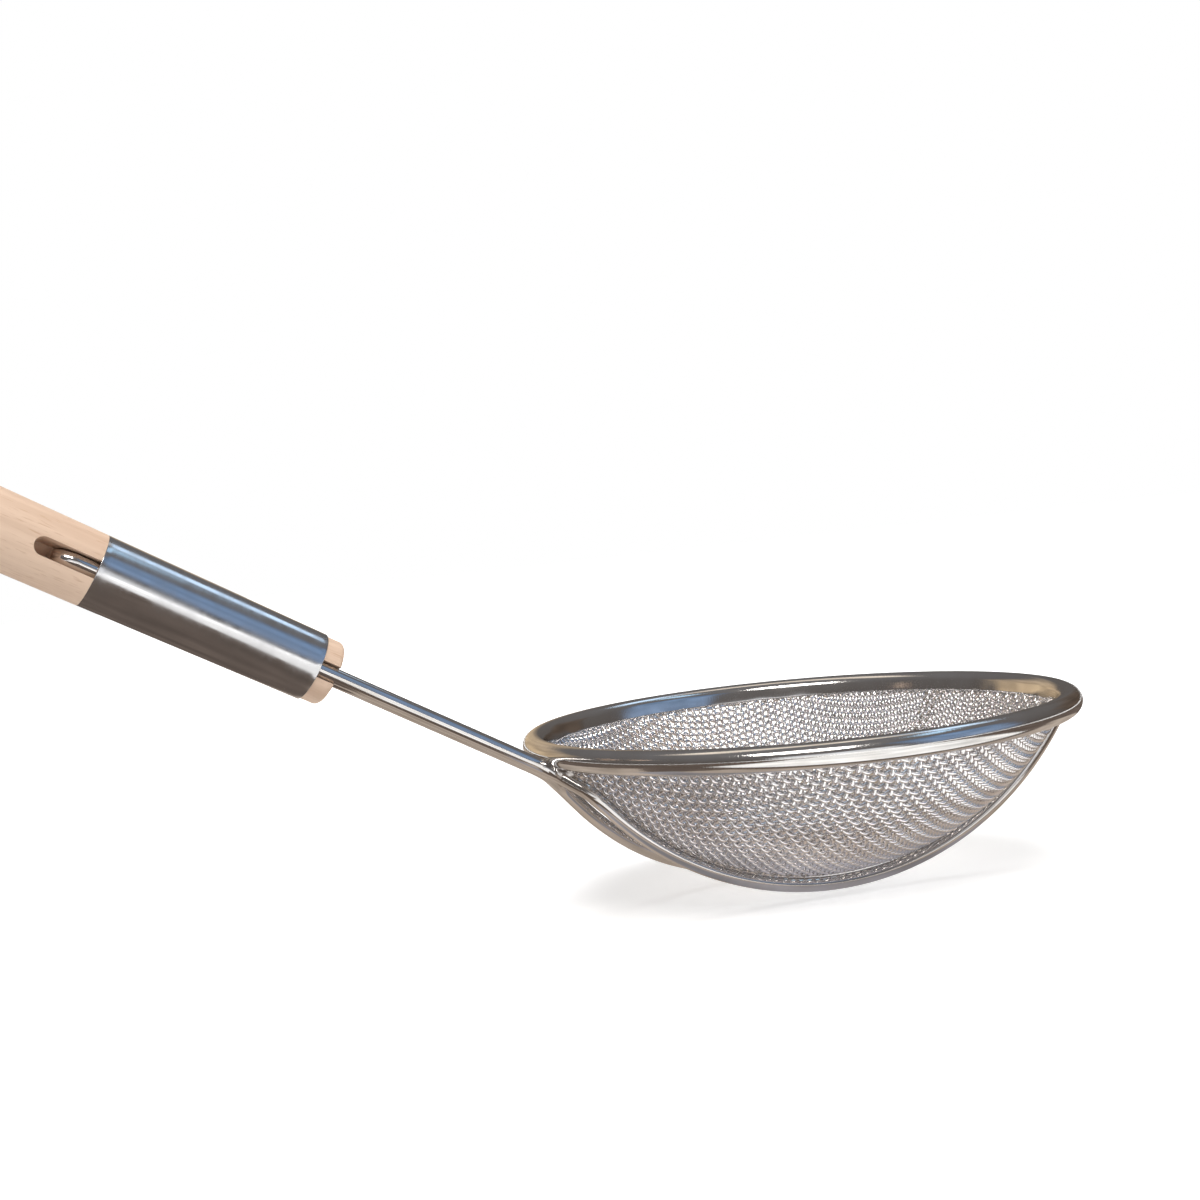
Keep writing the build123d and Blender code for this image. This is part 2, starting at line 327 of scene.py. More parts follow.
wires = {
    "halfSpread": 0.01894,
    "splay": 0.151,
    "bowlPlay": 0.00005,
    "endDrop": 0.0046,
    "endStraight": 0.0008,
    "kneeDrop": 0.0088,
    "kneeStand": 0.00035,
    "peelPlace": 0.001,
    "bends": (0.010, 0.009),
    "hookPlace": 0.1139 + 0.0101 - 0.00179,   # ferrule's end and the reach past it, to the middle line
    "hookDepth": 0.006,
    "hookBend": 0.004,
    "straightEnd": 0.1154,
    "sides": 28,
    "step": 0.0012,
    "turnStart": 0.02,                # where the section's reference direction turns, and how slowly
    "turnRun": 0.05,
    "endRun": 0.0004,                 # of the rounded end
    "endShare": 0.85,                 # of the radius, at the end face
}


def wireCorners(side):
    # corners of a wire's middle line from the shank to its end under the rim; side -1 is the right one
    level = unit(np.array([1, side * wires["splay"], 0]))
    offset = wires["halfSpread"] / sqrt(1 + wires["splay"] ** 2)
    arc = sqrt((layout["sphereRadius"] + wires["bowlPlay"] + layout["wireRadius"]) ** 2 - offset**2)
    centre = sphereCentre + np.array([-side * level[1], side * level[0], 0]) * offset

    def at(turn, reach):
        return centre + level * (reach * sin(turn)) - zAxis * (reach * cos(turn))

    kneeReach = arc + wires["kneeStand"]
    kneeTurn = -acos((layout["sphereRise"] + wires["kneeDrop"]) / kneeReach)
    arcStart = kneeTurn + acos(arc / kneeReach)
    arcEnd = acos((layout["sphereRise"] + wires["endDrop"]) / arc)
    corner = at((arcStart + arcEnd) / 2, arc / cos((arcEnd - arcStart) / 2))
    leaving = level * cos(arcEnd) + zAxis * sin(arcEnd)
    peel = pairStart + inward * (side * layout["wirePitch"]) - along * wires["peelPlace"]
    corners = [peel, at(kneeTurn, kneeReach), corner, at(arcEnd, arc) + leaving * wires["endStraight"]]
    return corners, [*wires["bends"], arc]


def supportWire(name, side):
    # tube along the rounded path; radius(s) = r (e + (1 - e) sqrt(1 - (1 - s / endRun)^2)) near its ends
    corners, bends = wireCorners(side)
    if side < 0:
        top = pairStart - inward * layout["wirePitch"] + along * wires["hookPlace"]
        corners, bends = [top + inward * wires["hookDepth"], top, *corners], [wires["hookBend"], *bends]
    else:
        corners = [pairStart + inward * layout["wirePitch"] + along * wires["straightEnd"], *corners]
    path = roundedPath(corners, bends, wires["step"])
    length = pathLength(path)
    blend = np.clip((length - wires["turnStart"]) / wires["turnRun"], 0, 1)[:, None]
    reference = aside * (1 - blend) + inward * blend      # never along the wire
    radius = layout["wireRadius"]
    nearEnd = np.clip(np.minimum(length, length[-1] - length) / wires["endRun"], 0, 1)
    roundEnd = np.sqrt(1 - (1 - nearEnd) ** 2)
    radii = radius * (wires["endShare"] + (1 - wires["endShare"]) * roundEnd)
    closedPath = np.concatenate([path[:1], path, path[-1:]])
    grid = sweepGrid(path, radii, reference, wires["sides"])
    grid = np.concatenate([np.repeat(path[:1, None], wires["sides"], axis=1), grid,
                           np.repeat(path[-1:, None], wires["sides"], axis=1)])
    return addGrid(name, grid, pathLength(closedPath), 2 * pi * radius)


rightWire = supportWire("wire_right", -1)
leftWire = supportWire("wire_left", 1)
print("support wires made")

# Ferrule

ferruleSizes = {
    "near": 0.061,
    "far": 0.1139,
    "nearRadius": 0.00795,
    "farRadius": 0.0083,
    "wall": 0.0003,
    "corner": 0.00012,
    "sides": 128,
    "rows": 40,
}


def makeFerrule():
    # cone of sheet: a closed outline of outside, far edge, inside and near edge, turned round the axis
    f = ferruleSizes
    slope = (f["farRadius"] - f["nearRadius"]) / (f["far"] - f["near"])
    s = np.linspace(f["near"] + f["corner"], f["far"] - f["corner"], f["rows"])
    outside = np.stack([s, f["nearRadius"] + slope * (s - f["near"])], axis=1)
    bend = np.linspace(0, pi / 2, 5)[1:-1]
    c = f["corner"]
    farBend = np.stack([f["far"] - c + c * np.sin(bend), f["farRadius"] - c + c * np.cos(bend)], axis=1)
    nearBend = np.stack([f["near"] + c - c * np.cos(bend), f["nearRadius"] - c + c * np.sin(bend)], axis=1)
    inside = outside[::-1] - [0, f["wall"]]
    inside[0, 0], inside[-1, 0] = f["far"], f["near"]
    outline = np.concatenate([nearBend, outside, farBend, inside, nearBend[:1]])
    grid = revolveGrid(axisStart, along, outline[:, 0], outline[:, 1], f["sides"], inward)
    return addGrid("ferrule_tube", grid[:, ::-1], pathLength(outline), 2 * pi * f["farRadius"])


ferruleTube = makeFerrule()
print("ferrule made")

# Turned handle

handle = {
    "nose": 0.061 - 0.0047,
    "noseCorner": 0.0013,
    "seatGap": 0.00036,
    "seatShort": 0.0001,              # of the ferrule's far end
    "uvRadius": 0.009,
    "flare": 0.3,
    "end": 0.292,
    "endRadius": 0.008,
    "endTurn": 75.0,
    "places": (0.135, 0.5, 0.85),     # shares of the bare length
    "radii": (0.00845, 0.0097, 0.0087),
    "sides": 144,
    "step": 0.0012,
    "slotWidth": 0.0041,
    "slotLength": 0.0141,
    "slotPlay": 0.00006,              # under the wires
    "slotStart": 0.003,               # before the nose, so that the cut is open
    "slotDepth": 0.020,               # past the handle's side
    "pitDepths": (0.002, 0.0061),     # of the hook's end, from the right wire's middle line
    "pitRadius": 0.00185,
    "holeRadius": 0.0025,
    "holePlace": 0.284,
    "holeReach": 0.012,               # of the cutter, both ways
    "sharpFrom": 38.0,                # degrees between faces, for a crisp edge
}


def handleOutline():
    # radius along the axis: flat nose, its round corner, seat in the ferrule, turned body and round tip
    f, h = ferruleSizes, handle
    bare = h["end"] - f["far"]
    turn = radians(h["endTurn"])
    ending = (h["end"] + h["endRadius"] * cos(turn), h["endRadius"] * sin(turn))
    x = np.array([f["far"], *(f["far"] + bare * np.array(h["places"])), ending[0]])
    y = np.array([f["farRadius"], *h["radii"], ending[1]])
    slopes = np.gradient(y, x)
    slopes[0], slopes[-1] = np.tan(radians(h["flare"])), -1 / np.tan(turn)
    s = np.linspace(x[0], x[-1], int(bare / h["step"]))
    k = np.clip(np.searchsorted(x, s, side="right") - 1, 0, len(x) - 2)
    w = x[k + 1] - x[k]
    t = (s - x[k]) / w
    # cubic Hermite between the turner's marks
    side = (y[k] * (1 + 2 * t) * (1 - t) ** 2 + slopes[k] * w * t * (1 - t) ** 2
            + y[k + 1] * t * t * (3 - 2 * t) + slopes[k + 1] * w * t * t * (t - 1))
    a = np.linspace(turn, 0, 14)[1:]
    seatNear = f["nearRadius"] - h["seatGap"]
    seatFar = f["farRadius"] - h["seatGap"]
    b = np.linspace(0, pi / 2, 7)
    nose = np.stack([h["nose"] + h["noseCorner"] * (1 - np.cos(b)),
                     seatNear - h["noseCorner"] * (1 - np.sin(b))], 1)
    flat = np.stack([np.full(6, h["nose"]), np.linspace(0, seatNear - h["noseCorner"], 6)], 1)
    seat = np.stack([np.linspace(f["near"], f["far"] - h["seatShort"], 30),
                     np.linspace(seatNear, seatFar, 30)], 1)
    body = np.stack([s, side], 1)
    tip = np.stack([h["end"] + h["endRadius"] * np.cos(a), h["endRadius"] * np.sin(a)], 1)
    tip[-1, 1] = 0
    return np.concatenate([flat, nose[1:], seat, body, tip])


def makeHandle():
    # the outline turned round the axis
    outline = handleOutline()
    grid = revolveGrid(axisStart, along, outline[:, 0], outline[:, 1], handle["sides"], inward)
    return addGrid("turned_handle", grid, pathLength(outline), 2 * pi * handle["uvRadius"])


def cutAway(obj, cutter):
    # takes the cutter's solid out of obj and removes the cutter
    change = obj.modifiers.new("cut", "BOOLEAN")
    change.operation = "DIFFERENCE"
    change.solver = "EXACT"
    change.object = cutter
    bpy.context.view_layer.update()
    result = bpy.data.meshes.new_from_object(obj.evaluated_get(bpy.context.evaluated_depsgraph_get()))
    obj.modifiers.clear()
    obj.data = result
    bpy.data.objects.remove(cutter)


def slotCutter():
    # a bar with one round end, from the slot's floor out past the handle's side
    h, f = handle, ferruleSizes
    half = h["slotWidth"] / 2
    tip = f["far"] + h["slotLength"] - half
    a = np.linspace(-pi / 2, pi / 2, 25)
    start = h["nose"] - h["slotStart"]
    x = np.concatenate([[start], tip + half * np.cos(a), [start]])
    y = np.concatenate([[-half], half * np.sin(a), [half]])
    floor = pairStart + inward * (layout["wirePitch"] + layout["wireRadius"] + h["slotPlay"])
    depth = np.array([0, h["slotDepth"]])
    grid = floor + along * x[None, :, None] + aside * y[None, :, None] - inward * depth[:, None, None]
    return closedPrism("slot_cutter", grid)


def closedPrism(name, grid):
    # the grid's rows joined by quads, with a face over each end
    columns = grid.shape[1]
    faces = gridFaces(len(grid), columns).tolist()
    faces += [list(range(columns - 1, -1, -1)), list(range((len(grid) - 1) * columns, len(grid) * columns))]
    obj = addPiece(name, grid.reshape(-1, 3), faces)
    work = bmesh.new()
    work.from_mesh(obj.data)
    bmesh.ops.recalc_face_normals(work, faces=work.faces)
    work.to_mesh(obj.data)
    work.free()
    return obj


def rodCutter(name, start, end, radius):
    # round rod from start to end
    path = start + (end - start) * np.linspace(0, 1, 3)[:, None]
    reference = unit(np.cross(end - start, zAxis + 0.3 * np.array([1.0, 0, 0])))
    return closedPrism(name, sweepGrid(path, np.full(3, radius), np.repeat(reference[None], 3, 0), 32))


woodHandle = makeHandle()
cutAway(woodHandle, slotCutter())
hookSpot = pairStart - inward * layout["wirePitch"] + along * wires["hookPlace"]
pitStart, pitEnd = (hookSpot + inward * depth for depth in handle["pitDepths"])
cutAway(woodHandle, rodCutter("hook_cutter", pitStart, pitEnd, handle["pitRadius"]))
holeSpot = axisStart + along * handle["holePlace"]
holeReach = above * handle["holeReach"]
holeCutter = rodCutter("hole_cutter", holeSpot - holeReach, holeSpot + holeReach, handle["holeRadius"])
cutAway(woodHandle, holeCutter)
woodHandle.data.polygons.foreach_set("use_smooth", np.ones(len(woodHandle.data.polygons), bool))
woodHandle.data.set_sharp_from_angle(angle=radians(handle["sharpFrom"]))
print("handle made", len(woodHandle.data.polygons), "faces")

# Weld beads

beads = {
    "joint": (0.0027, 0.0021, 0.0019),   # half sizes along the wire, up and across
    "jointShare": 0.25,
    "jointRise": 0.7,
    "end": (0.0025, 0.0021, 0.0019),
    "lumps": 0.16,
    "lumpWaves": 4.0,                 # spread of the sines' numbers over the bead
    "endStand": 0.0002,               # of the beads at the wires' ends, off the bowl
    "rows": 40,
    "columns": 56,
    "seed": 3,
}


def lumpyBead(name, place, forward, sizes, seed):
    # p(a, b) = place + sizes * n(a, b) * (1 + lumps * sum of sines of n)
    b = np.linspace(-pi / 2, pi / 2, beads["rows"])[:, None]
    a = np.linspace(0, 2 * pi, beads["columns"], endpoint=False)[None, :]
    n = np.stack([np.sin(b) * np.ones_like(a), np.cos(b) * np.cos(a), np.cos(b) * np.sin(a)], axis=-1)
    rng = np.random.default_rng(seed)
    lump = sum(np.sin(n @ rng.normal(0, beads["lumpWaves"], 3) + rng.uniform(0, 6)) for _ in range(9)) / 3
    f = unit(np.asarray(forward, float))
    s = unit(np.cross(zAxis, f))
    axes = np.stack([f, np.cross(f, s), s])
    local = n * np.array(sizes) * (1 + beads["lumps"] * lump)[..., None]
    grid = np.asarray(place) + local @ axes
    return addGrid(name, grid, np.linspace(0, 2 * sizes[0], beads["rows"]), 2 * pi * sizes[1])


beadPieces = []
for side, word in ((-1, "right"), (1, "left")):
    corners, _ = wireCorners(side)
    start, knee = corners[0], corners[1]
    place = start + (knee - start) * beads["jointShare"] + zAxis * layout["wireRadius"] * beads["jointRise"]
    beadPieces.append(lumpyBead("bead_joint_" + word, place, knee - start,
                                beads["joint"], beads["seed"] + side))
    offBowl = unit(corners[3] - sphereCentre) * beads["endStand"]
    beadPieces.append(lumpyBead("bead_end_" + word, corners[3] + offBowl, corners[3] - corners[2],
                                beads["end"], beads["seed"] + 5 + side))
print("beads made")

# Materials


def newMaterial(name):
    # a new material with its nodes, links and Principled node
    material = bpy.data.materials.new(name)
    material.use_nodes = True
    nodes = material.node_tree.nodes
    return material, nodes, material.node_tree.links, nodes["Principled BSDF"]


def newGroup(name, inputs, outputs):
    # a new node group with its nodes, links and the sockets at both of its ends
    group = bpy.data.node_groups.new(name, "ShaderNodeTree")
    for title, kind in inputs:
        group.interface.new_socket(title, in_out="INPUT", socket_type="NodeSocket" + kind)
    for title, kind in outputs:
        group.interface.new_socket(title, in_out="OUTPUT", socket_type="NodeSocket" + kind)
    given = group.nodes.new("NodeGroupInput").outputs
    out = group.nodes.new("NodeGroupOutput").inputs
    return group, group.nodes, group.links, given, out


def setInput(links, socket, value):
    # a number, vector or colour is set on the socket, and another socket is linked to it
    if isinstance(value, bpy.types.NodeSocket):
        links.new(value, socket)
    else:
        socket.default_value = value


def addStep(nodes, links, kind, operation, *values):
    # one step of arithmetic, of the kind Math or VectorMath
    step = nodes.new("ShaderNode" + kind)
    step.operation = operation
    for socket, value in zip(step.inputs, values):
        setInput(links, socket, value)
    return step.outputs["Value" if kind == "Math" or operation == "LENGTH" else "Vector"]


def addStretch(nodes, links, place, scale):
    # place times scale, each way on its own
    return addStep(nodes, links, "VectorMath", "MULTIPLY", place, scale)


def addNoise(nodes, links, place, detail):
    # soft noise of about one wave per unit of place
    noise = nodes.new("ShaderNodeTexNoise")
    noise.inputs["Scale"].default_value = 1.0
    noise.inputs["Detail"].default_value = detail
    links.new(place, noise.inputs["Vector"])
    return noise.outputs["Fac"]


def addSpread(nodes, links, value, low, high, least, most):
    # value from low..high to least..most
    spread = nodes.new("ShaderNodeMapRange")
    for title, end in (("Value", value), ("From Min", low), ("From Max", high),
                       ("To Min", least), ("To Max", most)):
        setInput(links, spread.inputs[title], end)
    return spread.outputs["Result"]


def addColorMix(nodes, links, share, first, second):
    # first color where share is 0 and second where it is 1
    mix = nodes.new("ShaderNodeMix")
    mix.data_type = "RGBA"
    for title, value in (("Factor", share), ("A", first), ("B", second)):
        setInput(links, mix.inputs[title], (*value, 1) if isinstance(value, tuple) else value)
    return mix.outputs["Result"]


def addSplit(nodes, links, vector):
    # the vector's X, Y and Z
    split = nodes.new("ShaderNodeSeparateXYZ")
    links.new(vector, split.inputs["Vector"])
    return split.outputs


def addBump(nodes, links, height, distance):
    # normal of a surface with that height, in units of distance
    bump = nodes.new("ShaderNodeBump")
    bump.inputs["Strength"].default_value = 1.0
    bump.inputs["Distance"].default_value = distance
    links.new(height, bump.inputs["Height"])
    return bump.outputs["Normal"]


scratchLook = {
    "fineDetail": 5.0,
    "slowStretch": (90, 90, 90),
    "slowDetail": 2.0,
    "slowShare": 0.6,                 # of each noise in the roughness
    "fineShare": 0.4,
    "roughRange": (0.36, 0.64),       # of the noise that spreads from smooth to rough
    "smudgeRange": (0.35, 0.65),
}


def scratchGroup():
    # fine stretched noise as a height, and a roughness that follows it and a slow smudge
    group, nodes, links, given, out = newGroup(
        "scratches", (("Place", "Vector"), ("Stretch", "Vector"), ("Smooth", "Float"), ("Rough", "Float")),
        (("Roughness", "Float"), ("Height", "Float"), ("Smudge", "Float")))
    look = scratchLook
    finePlace = addStretch(nodes, links, given["Place"], given["Stretch"])
    slowPlace = addStretch(nodes, links, given["Place"], look["slowStretch"])
    fine = addNoise(nodes, links, finePlace, look["fineDetail"])
    slow = addNoise(nodes, links, slowPlace, look["slowDetail"])
    finePart = addStep(nodes, links, "Math", "MULTIPLY", fine, look["fineShare"])
    mixed = addStep(nodes, links, "Math", "MULTIPLY_ADD", slow, look["slowShare"], finePart)
    roughness = addSpread(nodes, links, mixed, *look["roughRange"], given["Smooth"], given["Rough"])
    links.new(roughness, out["Roughness"])
    links.new(fine, out["Height"])
    links.new(addSpread(nodes, links, slow, *look["smudgeRange"], 0.0, 1.0), out["Smudge"])
    return group


scratches = scratchGroup()

finishes = {                          # bright and smudged colour, roughness, stretch, depth, UV or object
    "wire_steel": ((0.74, 0.72, 0.71), (0.66, 0.63, 0.60), (0.07, 0.16), (300, 900, 1), 0.000004, True),
    "mesh_steel": ((0.93, 0.92, 0.93), (0.85, 0.83, 0.83), (0.09, 0.18), (2500, 2500, 2500), 0.000006, False),
    "rim_steel": ((0.74, 0.73, 0.72), (0.68, 0.66, 0.64), (0.06, 0.17), (3000, 120, 1), 0.000016, True),
    "ferrule_steel": ((0.72, 0.72, 0.73), (0.64, 0.64, 0.65), (0.13, 0.25), (500, 160, 1), 0.000010, True),
    "weld_steel": ((0.82, 0.81, 0.80), (0.55, 0.52, 0.50), (0.16, 0.34), (1500, 1500, 1500), 0.00002, False),
    "core_steel": ((0.62, 0.60, 0.58), (0.55, 0.52, 0.50), (0.25, 0.40), (600, 600, 600), 0.00001, False),
}


def steelMaterial(name):
    # metal with fine scratches, smudged in places
    bright, smudged, (smooth, rough), stretch, depth, useUv = finishes[name]
    material, nodes, links, shader = newMaterial(name)
    shader.inputs["Metallic"].default_value = 1.0
    coordinates = nodes.new("ShaderNodeTexCoord")
    marks = nodes.new("ShaderNodeGroup")
    marks.node_tree = scratches
    links.new(coordinates.outputs["UV" if useUv else "Object"], marks.inputs["Place"])
    marks.inputs["Stretch"].default_value = stretch
    marks.inputs["Smooth"].default_value = smooth
    marks.inputs["Rough"].default_value = rough
    tint = addColorMix(nodes, links, marks.outputs["Smudge"], bright, smudged)
    links.new(tint, shader.inputs["Base Color"])
    links.new(marks.outputs["Roughness"], shader.inputs["Roughness"])
    links.new(addBump(nodes, links, marks.outputs["Height"], depth), shader.inputs["Normal"])
    return material


steels = {name: steelMaterial(name) for name in finishes}

wood = {
    "pale": (0.73, 0.545, 0.415),
    "dark": (0.59, 0.41, 0.295),
    "fleck": (0.46, 0.27, 0.16),
    "streaks": (14, 330, 330),        # waves per metre along, inwards and aside
    "flecks": (230, 2600, 2600),
    "fleckShare": 0.45,
    "streakDetail": 5.0,
    "fleckDetail": 3.0,
    "streakRange": (0.30, 0.62),      # of the noise that spreads from dark to pale
    "fleckRange": (0.58, 0.70),
    "roughRange": (0.3, 0.7),
    "roughness": (0.50, 0.68),
    "depth": 0.00004,
}


def woodMaterial():
    # beech: slow streaks and short dark flecks along the handle's own axis
    material, nodes, links, shader = newMaterial("beech")
    coordinates = nodes.new("ShaderNodeTexCoord")
    turn = nodes.new("ShaderNodeMapping")
    turn.vector_type = "TEXTURE"
    turn.inputs["Location"].default_value = axisStart
    turn.inputs["Rotation"].default_value = Matrix(np.stack([along, inward, aside]).T.tolist()).to_euler()
    links.new(coordinates.outputs["Object"], turn.inputs["Vector"])
    place = turn.outputs["Vector"]
    streak = addNoise(nodes, links, addStretch(nodes, links, place, wood["streaks"]), wood["streakDetail"])
    fleck = addNoise(nodes, links, addStretch(nodes, links, place, wood["flecks"]), wood["fleckDetail"])
    ramp = nodes.new("ShaderNodeValToRGB")
    for end, spot, color in zip(ramp.color_ramp.elements, wood["streakRange"], (wood["dark"], wood["pale"])):
        end.position, end.color = spot, (*color, 1)
    links.new(streak, ramp.inputs["Fac"])
    mark = addSpread(nodes, links, fleck, *wood["fleckRange"], 0.0, wood["fleckShare"])
    tint = addColorMix(nodes, links, mark, ramp.outputs["Color"], wood["fleck"])
    links.new(tint, shader.inputs["Base Color"])
    roughness = addSpread(nodes, links, streak, *wood["roughRange"], *wood["roughness"])
    links.new(roughness, shader.inputs["Roughness"])
    height = addStep(nodes, links, "Math", "SUBTRACT", streak, mark)
    links.new(addBump(nodes, links, height, wood["depth"]), shader.inputs["Normal"])
    return material


beech = woodMaterial()


def finishPiece(obj, material, slot, *nodes):
    # material of a piece, with the CAD nodes that it replaces; slot is not used
    obj.data.materials.clear()
    obj.data.materials.append(material)
    if obj.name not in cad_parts:
        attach(obj, "root")
    if nodes:
        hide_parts(*nodes)


for piece in weavePieces:
    finishPiece(piece, steels["mesh_steel"], "mesh_steel", "mesh_bowl")
finishPiece(rimRing, steels["rim_steel"], "rim_steel", "rim_band")
finishPiece(rightWire, steels["wire_steel"], "wire_steel", "right_support_wire")
finishPiece(leftWire, steels["wire_steel"], "wire_steel", "left_support_wire")
finishPiece(ferruleTube, steels["ferrule_steel"], "ferrule_steel", "ferrule")
finishPiece(woodHandle, beech, "wood", "wooden_handle")
for piece in beadPieces:
    finishPiece(piece, steels["weld_steel"], "weld_steel", "weld_beads")
finishPiece(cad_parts["rim_core_wire"], steels["core_steel"], "wire_steel")
print("materials set")

# Studio

studio = {
    "floorDrop": 0.0012,
    "floorSize": 6.0,
    "floorColor": (0.85, 0.85, 0.85, 1),
    "floorRoughness": 0.9,
    "floorGlow": (0.25, 0.9, 0.55, 1.0),   # distances between which it goes from one strength to the other
    "cameraTurn": 24.0,
    "cameraRise": 2.84,
    "cameraRoll": -5.66,
    "cameraShift": (0.050119, -0.029837),
    "cameraDistance": 0.450,
    "lens": 53.27,
    "sensor": 36,
    "clip": (0.01, 50),
    "roomLow": (0.12, 0.105, 0.095),   # what the metal mirrors between the cards
    "roomHigh": (0.20, 0.195, 0.20),
    "soft": 0.25,                     # even light on all sides
    "grainDetail": 2.0,
    "cardGrain": 4,                   # waves of unevenness per metre
    "tableGrain": 25,
    "grainRange": (0.3, 0.7, 0.68, 1.28),   # of the noise, and the strengths that it stands for
    "cardFade": 0.15,
    "tableLift": 0.0001,              # of the lowest patch over the floor, and of each on the last
    "tableStep": 0.0002,
}


def cameraAxes():
    # right, up and back for a turn about z, a rise above level and a roll about the view
    a, e, r = (radians(studio[k]) for k in ("cameraTurn", "cameraRise", "cameraRoll"))
    back = np.array([-sin(a) * cos(e), -cos(a) * cos(e), sin(e)])
    right = unit(np.cross(-back, zAxis))
    up = np.cross(right, -back)
    return cos(r) * right + sin(r) * up, -sin(r) * right + cos(r) * up, back


right, up, back = cameraAxes()
shift = studio["cameraShift"]
eye = rimCentre - shift[0] * right - shift[1] * up + studio["cameraDistance"] * back
cameraData = bpy.data.cameras.new("camera")
cameraData.lens, cameraData.sensor_width = studio["lens"], studio["sensor"]
cameraData.clip_start, cameraData.clip_end = studio["clip"]
camera = bpy.data.objects.new("camera", cameraData)
cameraRows = np.column_stack([right, up, back, eye]).tolist() + [[0, 0, 0, 1]]
camera.matrix_world = Matrix(cameraRows)
bpy.context.scene.collection.objects.link(camera)
bpy.context.scene.camera = camera

cards = {                             # azimuth, elevation, distance, width, height, lower and upper colour
    "overhead": (90, 78, 1.3, 1.4, 0.42, (1.10, 0.98, 0.84), (1.10, 0.99, 0.86)),
    "front_wall": (-106, 4, 1.5, 1.55, 0.75, (1.25, 1.24, 1.23), (0.95, 0.98, 1.04)),
    "window": (-51, 23, 1.5, 1.50, 1.30, (0.32, 0.42, 0.60), (0.18, 0.29, 0.47)),
    "window_top": (-22, 60, 1.45, 0.55, 0.20, (0.65, 0.95, 1.25), (0.65, 0.95, 1.25)),
    "blue_strip": (20, 53, 1.34, 0.40, 0.34, (0.85, 1.10, 1.40), (0.85, 1.10, 1.40)),
    "back_wall": (100, 14, 1.6, 2.2, 0.9, (0.76, 0.57, 0.36), (0.42, 0.34, 0.26)),
    "right_wall": (24, 8, 1.5, 1.1, 0.8, (0.10, 0.07, 0.05), (0.14, 0.11, 0.09)),
}
tables = {                            # corners on the table and their colour
    "brown_cloth": (((-0.90, -0.60), (0.90, -0.60), (0.90, 0.90), (-0.90, 0.90)), (0.16, 0.125, 0.105)),
    "tan_cloth": (((0.0, -0.018), (0.045, -0.018), (0.06, -0.057), (0.29, -0.057), (0.33, 0.5), (0.0, 0.5)),
                  (0.52, 0.44, 0.37)),
    "bowl_shade": (((0.045, -0.034), (0.180, -0.034), (0.175, -0.010), (0.045, -0.010)), (0.32, 0.31, 0.33)),
    "paper": (((0.016, -0.070), (0.21, -0.070), (0.27, -0.60), (-0.08, -0.60), (-0.02, -0.24),
               (0.004, -0.155)), (1.25, 1.24, 1.22)),
}


def cardMaterial(name, low, high, grain):
    # emission only, uneven by a noise of grain waves per metre; with two colours it goes from the
    # lower to the upper one and fades out towards its edges by the smaller of u (1 - u) and v (1 - v)
    material, nodes, links, shader = newMaterial(name)
    nodes.remove(shader)
    light = nodes.new("ShaderNodeEmission")
    surface = nodes["Material Output"].inputs["Surface"]
    coordinates = nodes.new("ShaderNodeTexCoord").outputs
    spot = addStretch(nodes, links, coordinates["Object"], (grain,) * 3)
    uneven = addNoise(nodes, links, spot, studio["grainDetail"])
    links.new(addSpread(nodes, links, uneven, *studio["grainRange"]), light.inputs["Strength"])
    if low == high:
        light.inputs["Color"].default_value = (*low, 1)
        links.new(light.outputs["Emission"], surface)
        return material
    place = coordinates["UV"]
    color = addColorMix(nodes, links, addSplit(nodes, links, place)["Y"], low, high)
    links.new(color, light.inputs["Color"])
    rest = addStep(nodes, links, "VectorMath", "SUBTRACT", (1, 1, 1), place)
    sides = addSplit(nodes, links, addStep(nodes, links, "VectorMath", "MULTIPLY", place, rest))
    least = addStep(nodes, links, "Math", "MINIMUM", sides["X"], sides["Y"])
    fade = nodes.new("ShaderNodeMixShader")
    links.new(addSpread(nodes, links, least, 0.0, studio["cardFade"], 0.0, 1.0), fade.inputs["Fac"])
    links.new(nodes.new("ShaderNodeBsdfTransparent").outputs["BSDF"], fade.inputs[1])
    links.new(light.outputs["Emission"], fade.inputs[2])
    links.new(fade.outputs["Shader"], surface)
    return material


def addCard(name, points, low, high, grain):
    # reflector that only mirror rays see; the first points are its lower edge
    points = np.asarray(points, float)
    uv = [(0, 0), (1, 0), (1, 1), (0, 1)] if len(points) == 4 else [(0, 0)] * len(points)
    obj = addPiece(name, points, [list(range(len(points)))], uv)
    obj.data.materials.append(cardMaterial(name, low, high, grain))
    obj.visible_camera = obj.visible_diffuse = obj.visible_shadow = False
    obj.visible_transmission = obj.visible_volume_scatter = False
    obj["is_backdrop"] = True


for name, (azimuth, elevation, distance, width, height, low, high) in cards.items():
    a, e = radians(azimuth), radians(elevation)
    outwards = np.array([cos(a) * cos(e), sin(a) * cos(e), sin(e)])
    level = np.array([-sin(a), cos(a), 0])
    upwards = np.cross(outwards, level)
    corners = np.array([[-1, -1], [1, -1], [1, 1], [-1, 1]]) * [width / 2, height / 2]
    points = rimCentre + outwards * distance + corners @ np.stack([level, upwards])
    addCard(name, points, low, high, studio["cardGrain"])
for layer, (name, (corners, color)) in enumerate(tables.items()):
    height = -studio["floorDrop"] + studio["tableLift"] + studio["tableStep"] * layer
    addCard(name, [(x, y, height) for x, y in corners], color, color, studio["tableGrain"])


def addMost(nodes, links, most, *others):
    # the largest of several sockets
    for value in others:
        most = addStep(nodes, links, "Math", "MAXIMUM", most, value)
    return most


